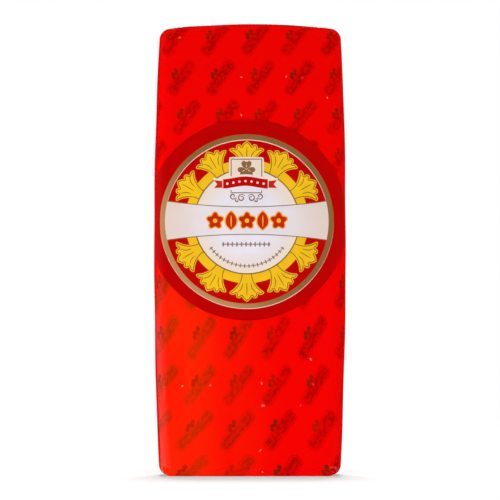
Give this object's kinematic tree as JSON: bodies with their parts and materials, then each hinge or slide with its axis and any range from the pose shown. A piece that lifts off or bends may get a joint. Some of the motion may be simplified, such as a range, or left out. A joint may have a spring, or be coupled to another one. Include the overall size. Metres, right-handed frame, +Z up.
{
  "type": "wrapped cheese block",
  "caption": "Whole rectangular block of semi-hard cheese in a printed red heat-shrunk film bag with a round front label, standing on one end.",
  "frame": {"origin": "on the surface the block stands on, under the middle of its base", "axes": "+Z up along the block's length, -Y out of the front face that carries the label, +X to the right as seen from the front"},
  "size_m": [0.1266, 0.1006, 0.3009],
  "materials": {
    "cheese": "pale yellow semi-hard cheese, smooth pressed surface with a faint sheen",
    "film": "glossy red shrink film with a slanted repeat print in dark brownish red",
    "label": "coated label, dark red with a gold ring, yellow ornaments and an off-white band and centre"
  },
  "bodies": {
    "root": {"cheese_block": "cheese", "shrink_film": "film", "round_label": "label"}
  },
  "joints": []
}
